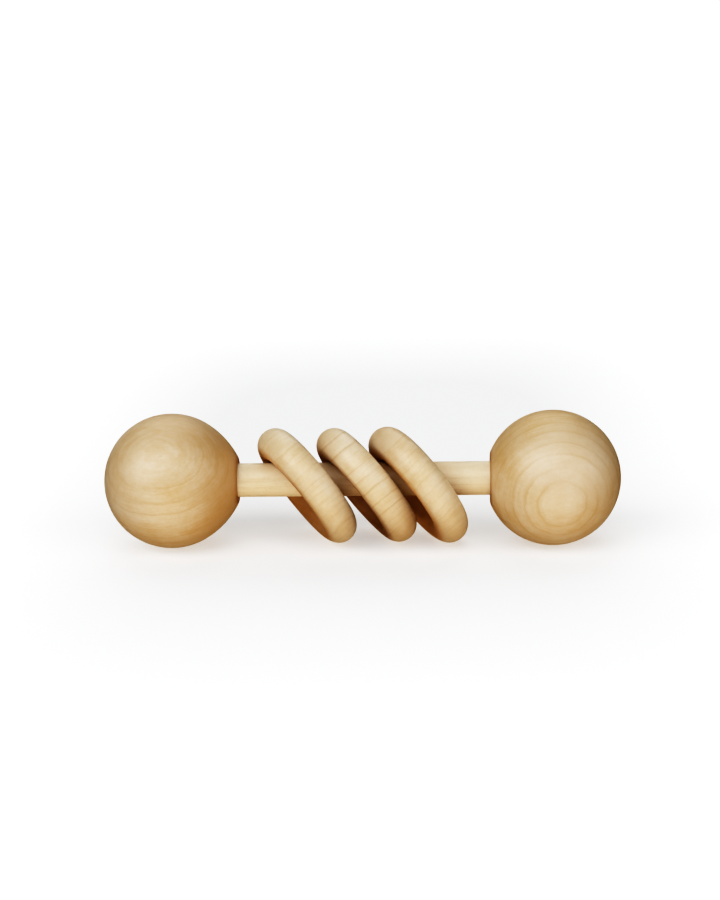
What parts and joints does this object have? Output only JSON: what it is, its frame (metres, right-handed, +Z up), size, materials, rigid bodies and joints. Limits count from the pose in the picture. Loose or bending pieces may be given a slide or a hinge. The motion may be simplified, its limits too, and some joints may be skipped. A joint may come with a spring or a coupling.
{
  "type": "baby rattle",
  "caption": "Wooden baby rattle: a straight dowel with a turned ball glued on each end and loose rings round it that lean on the dowel and slide along it.",
  "frame": {"origin": "the middle of the dowel's bare length, on the dowel's axis", "axes": "+X along the dowel towards the right ball, +Y to the back, +Z up; the rattle lies on the plane z = -19.05 mm"},
  "size_m": [0.1458, 0.0391, 0.0381],
  "materials": {
    "ball_maple": "satin, sanded and lightly oiled",
    "dowel_maple": "satin, sanded and lightly oiled",
    "ring_maple": "satin, sanded and lightly oiled"
  },
  "bodies": {
    "handle": {"dowel": "dowel_maple", "left_ball": "ball_maple", "right_ball": "ball_maple"},
    "ring_left": {"ring_left": "ring_maple"},
    "ring_middle": {"ring_middle": "ring_maple"},
    "ring_right": {"ring_right": "ring_maple"}
  },
  "joints": [
    {"name": "ring_left_slide", "type": "slide", "parent": "handle", "child": "ring_left", "axis": [1, 0, 0], "range_m": [-0.006, 0.0018]},
    {"name": "ring_middle_slide", "type": "slide", "parent": "handle", "child": "ring_middle", "axis": [1, 0, 0], "range_m": [-0.0018, 0.0004]},
    {"name": "ring_right_slide", "type": "slide", "parent": "handle", "child": "ring_right", "axis": [1, 0, 0], "range_m": [-0.0004, 0.008]}
  ]
}
